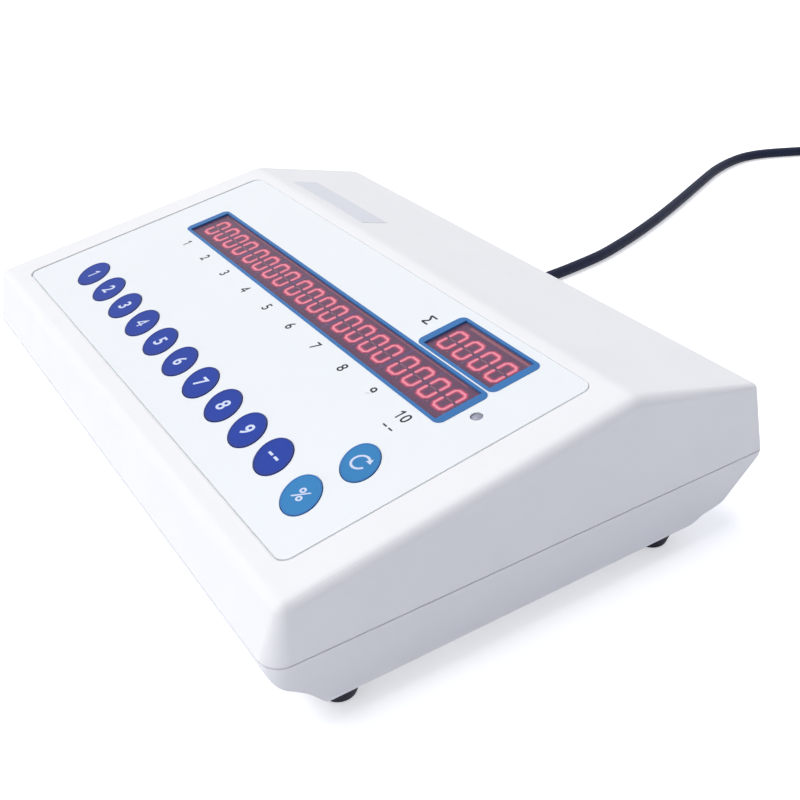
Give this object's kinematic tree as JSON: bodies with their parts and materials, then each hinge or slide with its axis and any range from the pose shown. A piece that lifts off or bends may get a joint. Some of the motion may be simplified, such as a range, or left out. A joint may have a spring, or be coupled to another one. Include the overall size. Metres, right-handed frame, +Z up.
{
  "type": "differential cell counter",
  "caption": "Bench-top wedge console for counting cell types: sloped panel with sprung oval keys, a long and a short red digit display, rear power switch, fuse and mains lead.",
  "frame": {"origin": "on the bench under the centre of the case (middle of its bounding box, without the lead)", "axes": "+X to the operator's right, +Y to the rear, +Z up; the keys face -Y and up"},
  "size_m": [0.3005, 0.6875, 0.0793],
  "materials": {
    "case_white": "satin moulded ABS",
    "tray_grey": "satin moulded ABS",
    "overlay_sheet": "fine matt printed sheet",
    "frame_blue": "printed band",
    "red_window": "tinted window film",
    "key_dark_blue": "semi-gloss",
    "key_light_blue": "semi-gloss",
    "module_red": "matt display face",
    "led_lens": "clear grey lens",
    "black_plastic": "matt",
    "board_green": "solder mask",
    "ribbon_grey": "flat cable jacket",
    "cap_sleeve": "shrink sleeve",
    "core_steel": "stacked sheet",
    "coil_tape": "winding tape",
    "screw_steel": "zinc plated",
    "rocker_red": "semi-gloss",
    "fuse_metal": "plated ends",
    "lead_black": "soft sheath",
    "foot_rubber": "matt",
    "pin_brass": "plain"
  },
  "bodies": {
    "case": {"upper_shell": "case_white", "lower_shell": "tray_grey", "case_screws": "screw_steel", "overlay": "overlay_sheet", "frame_long": "frame_blue", "frame_sum": "frame_blue", "film_long": "red_window", "film_sum": "red_window", "module_1": "module_red", "module_2": "module_red", "module_3": "module_red", "module_4": "module_red", "module_5": "module_red", "module_6": "module_red", "module_7": "module_red", "module_8": "module_red", "module_9": "module_red", "module_10": "module_red", "module_sum_1": "module_red", "module_sum_2": "module_red", "status_led": "led_lens", "key_switches": "black_plastic", "display_board": "board_green", "driver_chips": "black_plastic", "board_screws": "screw_steel", "ribbon": "ribbon_grey", "main_board": "board_green", "main_parts": "black_plastic", "processor": "black_plastic", "buzzer": "black_plastic", "capacitor": "cap_sleeve", "transformer_core": "core_steel", "transformer_coil": "coil_tape", "power_body": "black_plastic", "fuse_holder": "black_plastic", "fuse": "fuse_metal", "foot_fl": "foot_rubber", "foot_fr": "foot_rubber", "foot_rl": "foot_rubber", "foot_rr": "foot_rubber", "strain_relief": "lead_black", "lead": "lead_black", "lead_coil": "lead_black", "plug_body": "lead_black", "plug_pins": "pin_brass"},
    "key_1": {"key_1": "key_dark_blue"},
    "key_2": {"key_2": "key_dark_blue"},
    "key_3": {"key_3": "key_dark_blue"},
    "key_4": {"key_4": "key_dark_blue"},
    "key_5": {"key_5": "key_dark_blue"},
    "key_6": {"key_6": "key_dark_blue"},
    "key_7": {"key_7": "key_dark_blue"},
    "key_8": {"key_8": "key_dark_blue"},
    "key_9": {"key_9": "key_dark_blue"},
    "key_10": {"key_10": "key_dark_blue"},
    "key_percent": {"key_percent": "key_light_blue"},
    "key_reset": {"key_reset": "key_light_blue"},
    "power_rocker": {"power_rocker": "rocker_red"},
    "fuse_cap": {"fuse_cap": "black_plastic"}
  },
  "joints": [
    {"name": "key_1_press", "type": "slide", "parent": "case", "child": "key_1", "axis": [0, 0.1693, -0.9856], "range_m": [0, 0.0005], "stiffness_N_per_m": 1500, "springref_m": -0.0004},
    {"name": "key_2_press", "type": "slide", "parent": "case", "child": "key_2", "axis": [0, 0.1693, -0.9856], "range_m": [0, 0.0005], "stiffness_N_per_m": 1500, "springref_m": -0.0004},
    {"name": "key_3_press", "type": "slide", "parent": "case", "child": "key_3", "axis": [0, 0.1693, -0.9856], "range_m": [0, 0.0005], "stiffness_N_per_m": 1500, "springref_m": -0.0004},
    {"name": "key_4_press", "type": "slide", "parent": "case", "child": "key_4", "axis": [0, 0.1693, -0.9856], "range_m": [0, 0.0005], "stiffness_N_per_m": 1500, "springref_m": -0.0004},
    {"name": "key_5_press", "type": "slide", "parent": "case", "child": "key_5", "axis": [0, 0.1693, -0.9856], "range_m": [0, 0.0005], "stiffness_N_per_m": 1500, "springref_m": -0.0004},
    {"name": "key_6_press", "type": "slide", "parent": "case", "child": "key_6", "axis": [0, 0.1693, -0.9856], "range_m": [0, 0.0005], "stiffness_N_per_m": 1500, "springref_m": -0.0004},
    {"name": "key_7_press", "type": "slide", "parent": "case", "child": "key_7", "axis": [0, 0.1693, -0.9856], "range_m": [0, 0.0005], "stiffness_N_per_m": 1500, "springref_m": -0.0004},
    {"name": "key_8_press", "type": "slide", "parent": "case", "child": "key_8", "axis": [0, 0.1693, -0.9856], "range_m": [0, 0.0005], "stiffness_N_per_m": 1500, "springref_m": -0.0004},
    {"name": "key_9_press", "type": "slide", "parent": "case", "child": "key_9", "axis": [0, 0.1693, -0.9856], "range_m": [0, 0.0005], "stiffness_N_per_m": 1500, "springref_m": -0.0004},
    {"name": "key_10_press", "type": "slide", "parent": "case", "child": "key_10", "axis": [0, 0.1693, -0.9856], "range_m": [0, 0.0005], "stiffness_N_per_m": 1500, "springref_m": -0.0004},
    {"name": "key_percent_press", "type": "slide", "parent": "case", "child": "key_percent", "axis": [0, 0.1693, -0.9856], "range_m": [0, 0.0005], "stiffness_N_per_m": 1500, "springref_m": -0.0004},
    {"name": "key_reset_press", "type": "slide", "parent": "case", "child": "key_reset", "axis": [0, 0.1693, -0.9856], "range_m": [0, 0.0005], "stiffness_N_per_m": 1500, "springref_m": -0.0004},
    {"name": "power_rocker_tilt", "type": "hinge", "parent": "case", "child": "power_rocker", "pos_m": [0.062, 0.09831, 0.04851], "axis": [0, 0.2492, -0.9685], "range_deg": [0, 20]},
    {"name": "fuse_cap_turn", "type": "hinge", "parent": "case", "child": "fuse_cap", "pos_m": [0.018, 0.1016, 0.04936], "axis": [0, 0.9685, 0.2492], "range_deg": [-60, 0]}
  ]
}
